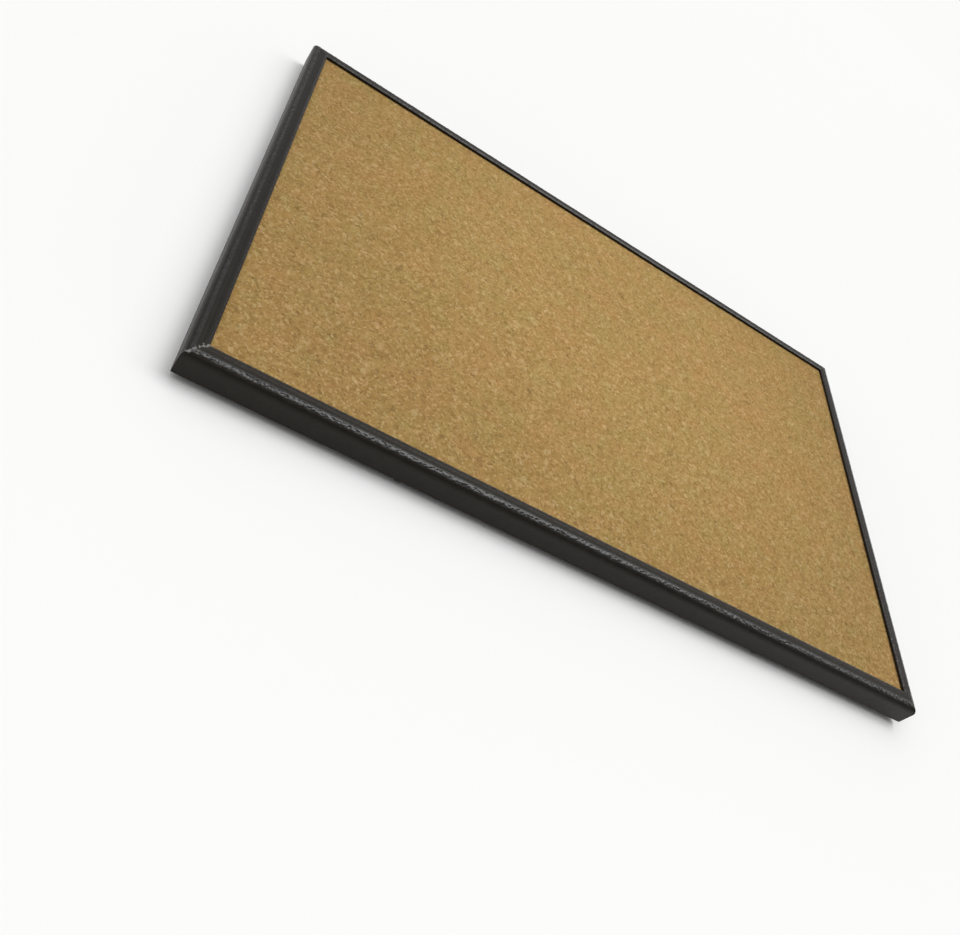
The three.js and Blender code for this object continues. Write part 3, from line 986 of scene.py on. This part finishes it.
def screw_template():
    """Threaded screw with a cross recess and the underside of its head at height 0."""
    low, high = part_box("hanger_screw_left")
    shank = high.z - low.z - SCREW_HEAD_HEIGHT
    mesh = mesh_of("screw_blank", *loft(screw_rings((high.x - low.x) / 2, shank)))
    for number, cutter in enumerate(cross_recess()):
        mesh = cut_from(mesh, f"screw_recess_{number}", [cutter])
    return mesh


def add_screws():
    template = screw_template()
    nodes = [f"turn_button_screw_{place}" for place in BUTTON_PLACES]
    nodes += [f"hanger_screw_{side}" for side in HANGER_SIDES]
    for number, node in enumerate(nodes):
        low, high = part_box(node)
        seat = ((low.x + high.x) / 2, (low.y + high.y) / 2, low.z + SCREW_HEAD_HEIGHT)
        screw = template.copy()
        screw.transform(Matrix.Translation(seat) @ Matrix.Rotation(SCREW_TURN_STEP * number, 4, "Z"))
        slot = "zinc_screw" if node.startswith("hanger") else "black_screw"
        add_piece(node.replace("screw", "pan_screw"), screw, "frame", slot, node)


# Turn buttons


def button_outline(offset):
    """Outline of a turn button about its screw, pointing in, moved out by offset."""
    head = screw_inset - BUTTON_MARGIN
    slant = math.asin((head - BUTTON_TIP_RADIUS) / BUTTON_REACH)
    head += offset
    tip = BUTTON_TIP_RADIUS + offset
    right = []
    for t in np.linspace(-QUARTER, slant, 18):
        right.append((head * math.cos(t), head * math.sin(t)))
    last = math.atan2(BUTTON_REACH + tip * math.sin(slant), tip * math.cos(slant))
    for t in np.linspace(slant, last, 14)[1:-1]:
        reach = head / math.cos(t - slant)
        right.append((reach * math.cos(t), reach * math.sin(t)))
    for t in np.linspace(slant, QUARTER, 10):
        right.append((tip * math.cos(t), BUTTON_REACH + tip * math.sin(t)))
    right = np.array(right)
    left = right[-2:0:-1] * (-1, 1)
    return np.concatenate([right, left])


def button_mesh(node):
    """Pressed plate with rounded edges and a shallow dish in the face that shows."""
    low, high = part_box(node)
    outline = button_outline(0)
    bearing = np.arctan2(outline[:, 1], outline[:, 0])
    dish = low.z + BUTTON_DISH_DEPTH

    def plate_at(offset, height):
        points = button_outline(offset)
        return np.column_stack([points, np.full(len(points), height)])

    def rounded_edge(height, way):
        rings = []
        for t in np.linspace(0, QUARTER, 5):
            inset = BUTTON_EDGE * (1 - math.cos(t))
            drop = BUTTON_EDGE * (1 - math.sin(t))
            rings.append(plate_at(-inset, height - way * drop))
        return rings

    rings = [ring_at(screw_bore, dish, bearing), ring_at(screw_bore, high.z, bearing)]
    rings += rounded_edge(high.z, 1)[::-1] + rounded_edge(low.z, -1)
    rings += [plate_at(-BUTTON_RIM, low.z), plate_at(-BUTTON_DISH_INSET, dish)]
    rings += [ring_at(screw_bore + BUTTON_EYE_LAND, dish, bearing)]
    return mesh_of(node, *loft(rings, looped=True))


def add_turn_buttons():
    for place in BUTTON_PLACES:
        node = f"turn_button_{place}"
        pivot = joint_place[node]
        button = button_mesh(node)
        turn = Matrix.Rotation(side_of(pivot) * QUARTER, 4, "Z")
        button.transform(Matrix.Translation((pivot.x, pivot.y, 0)) @ turn)
        add_piece(f"swivel_{place}", button, node, "black_plate", node)


# Hangers


def strap_plan(straight, roll):
    """Strap laid flat, as (along, across) points about its screw and faces: a round end, then even rows."""
    half = STRAP_WIDTH / 2
    across = np.linspace(-half, half, 9)
    edge = [(half, v) for v in across]
    edge += [(s, half) for s in np.linspace(half, 0, 5)[1:]]
    edge += [(half * math.cos(t), half * math.sin(t)) for t in np.linspace(QUARTER, 3 * QUARTER, 17)[1:]]
    edge += [(s, -half) for s in np.linspace(0, half, 5)[1:-1]]
    edge = np.array(edge)
    bore = ring_at(screw_bore, 0.0, np.arctan2(edge[:, 1], edge[:, 0]))[:, :2]
    rings = [bore * (1 - share) + edge * share for share in np.linspace(0, 1, 4)]
    stations = np.concatenate([np.linspace(half, straight, 6)[1:], straight + np.linspace(0, roll, 25)[1:]])
    rows = [np.column_stack([np.full(len(across), s), across]) for s in stations]
    points = np.concatenate(rings + rows)
    ring_index = np.arange(len(rings) * len(edge)).reshape(len(rings), len(edge))
    row_index = np.arange(ring_index.size, len(points)).reshape(len(rows), len(across))
    row_index = np.vstack([ring_index[-1:, : len(across)], row_index])
    return points, ring_faces(ring_index) + row_faces(row_index)


def strap_mesh(node, pivot, turn):
    """Pressed strap: a round end about its screw and a rolled eye about the ring's bar."""
    middle = WIRE_RADIUS + LOOP_CLEARANCE + STRAP_THICKNESS / 2
    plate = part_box(node)[1].z - STRAP_THICKNESS / 2
    local = side_matrix(turn).inverted() @ pivot
    straight = local.y - screw_inset
    plan, faces = strap_plan(straight, EYE_TURN * middle)
    rolled = np.maximum(0.0, plan[:, 0] - straight) / middle
    inward = screw_inset + np.minimum(plan[:, 0], straight) + middle * np.sin(rolled)
    up = plate - middle * (1 - np.cos(rolled))
    points = np.column_stack([local.x + plan[:, 1], inward, up])
    mesh = mesh_of(node, moved(points, side_matrix(turn)), faces)
    solid = ("SOLIDIFY", {"thickness": STRAP_THICKNESS, "offset": 0.0, "use_even_offset": True})
    soft = ("BEVEL", {"width": STRAP_EDGE, "segments": 2, "limit_method": "ANGLE"})
    return shaped(mesh, node, [solid, soft])


def ring_route():
    """Middle line of the D-ring about its bar, as (along the bar, away from it), from joint to joint."""
    side, corner = RING_WIDTH / 2, RING_CORNER
    points = [(RING_JOINT_GAP / 2, 0.0)]
    points += [tuple(p) for p in line_points(points[-1], (side - corner, 0), 4)]
    for t in np.linspace(-QUARTER, 0, 8)[1:]:
        points.append((side - corner + corner * math.cos(t), corner + corner * math.sin(t)))
    points.append((side, RING_STRAIGHT))
    for t in np.linspace(0, QUARTER, 20)[1:]:
        points.append((side * math.cos(t), RING_STRAIGHT + side * math.sin(t)))
    half = np.array(points)
    other = half[-2::-1] * (-1, 1)
    return np.concatenate([half, other])


def ring_mesh(node, pivot, turn):
    """Bent wire of the D-ring."""
    route = ring_route()
    way = np.gradient(route, axis=0)
    way /= np.linalg.norm(way, axis=1, keepdims=True)
    local = side_matrix(turn).inverted() @ pivot
    turns = turns_round(WIRE_SIDES)
    out = WIRE_RADIUS * np.cos(turns)
    up = WIRE_RADIUS * np.sin(turns)
    rings = []
    for (x, y), (way_x, way_y) in zip(route, way):
        rings.append(np.column_stack([local.x + x + out * way_y, local.y + y - out * way_x, local.z + up]))
    points, faces = loft(rings)
    return mesh_of(node, moved(points, side_matrix(turn)), faces)


def add_hangers():
    for side in HANGER_SIDES:
        ring_node, strap_node = f"d_ring_{side}", f"hanger_strap_{side}"
        pivot = joint_place[ring_node]
        turn = side_of(pivot)
        strap = strap_mesh(strap_node, pivot, turn)
        add_piece(f"strap_{side}", strap, "frame", "zinc_plate", strap_node)
        ring = ring_mesh(ring_node, pivot, turn)
        add_piece(f"wire_ring_{side}", ring, ring_node, "zinc_wire", ring_node)


# Floor, light and camera


def add_floor():
    mesh = bpy.data.meshes.new("floor")
    corners = [(x, y, 0) for x, y in corners_of(FLOOR_REACH, FLOOR_REACH)]
    mesh.from_pydata(corners, [], [[0, 1, 2, 3]])
    mesh.materials.append(floor_finish())
    floor = bpy.data.objects.new("floor", mesh)
    bpy.context.scene.collection.objects.link(floor)


def add_world():
    """Soft light from above, dimmer lower down and on the camera's side, over a pale haze."""
    world = bpy.data.worlds.new("studio")
    world.use_nodes = True
    bpy.context.scene.world = world
    air = Nodes(world.node_tree, "Generated")
    up = air.add("ShaderNodeSeparateXYZ", {"Vector": air.place}, "Z")
    inputs = {0: air.place, 1: SKY_BRIGHT_WAY}
    bright_way = air.add("ShaderNodeVectorMath", inputs, "Value", operation="DOT_PRODUCT")
    colour = air.ramp(up, [(height, (level, level, level)) for height, level in SKY_LEVELS])
    side = air.remap(bright_way, -0.55, 0.35, SKY_DIM_SIDE, SKY_BRIGHT_SIDE)
    strength = air.math("MULTIPLY", side, SKY_STRENGTH)
    sky = air.add("ShaderNodeBackground", {"Color": colour, "Strength": strength})
    haze = air.add("ShaderNodeBackground", {"Color": (1.0, 1.0, 1.0, 1.0), "Strength": HAZE_STRENGTH})
    sky_share = air.remap(up, HAZE_FADES_FROM, HAZE_FADES_TO)
    both = air.add("ShaderNodeMixShader", {0: sky_share, 1: haze, 2: sky})
    air.feed(air.tree.nodes["World Output"].inputs["Surface"], both)


def add_soft_light(name, direction, spread_degrees, level):
    """A wide soft light from a direction."""
    lamp = bpy.data.lights.new(name, "SUN")
    lamp.energy = level * math.pi
    lamp.angle = math.radians(spread_degrees)
    light = bpy.data.objects.new(name, lamp)
    light.rotation_mode = "QUATERNION"
    light.rotation_quaternion = Vector(direction).to_track_quat("Z", "Y")
    bpy.context.scene.collection.objects.link(light)


def add_camera():
    lens = bpy.data.cameras.new("camera")
    lens.sensor_width = SENSOR_WIDTH
    lens.lens = FOCAL_PIXELS * SENSOR_WIDTH / PICTURE_WIDTH
    lens.shift_y = (OPTICAL_CENTRE_ROW - PICTURE_HEIGHT / 2) / PICTURE_WIDTH
    lens.clip_start = 0.01
    camera = bpy.data.objects.new("camera", lens)
    level = Vector(CAMERA_AIM).to_track_quat("-Z", "Y").to_matrix().to_4x4()
    roll = Matrix.Rotation(CAMERA_ROLL, 4, "Z")
    camera.matrix_world = Matrix.Translation(CAMERA_PLACE) @ level @ roll
    bpy.context.scene.collection.objects.link(camera)
    bpy.context.scene.camera = camera


add_rails()
add_sheets()
add_joint_nails()
add_pads()
add_screws()
add_turn_buttons()
add_hangers()
add_floor()
add_world()
add_soft_light("overhead", OVERHEAD_WAY, OVERHEAD_SPREAD, OVERHEAD_LEVEL)
add_soft_light("far_end", FAR_END_WAY, FAR_END_SPREAD, FAR_END_LEVEL)
add_camera()
bpy.context.scene.view_settings.view_transform = "Standard"
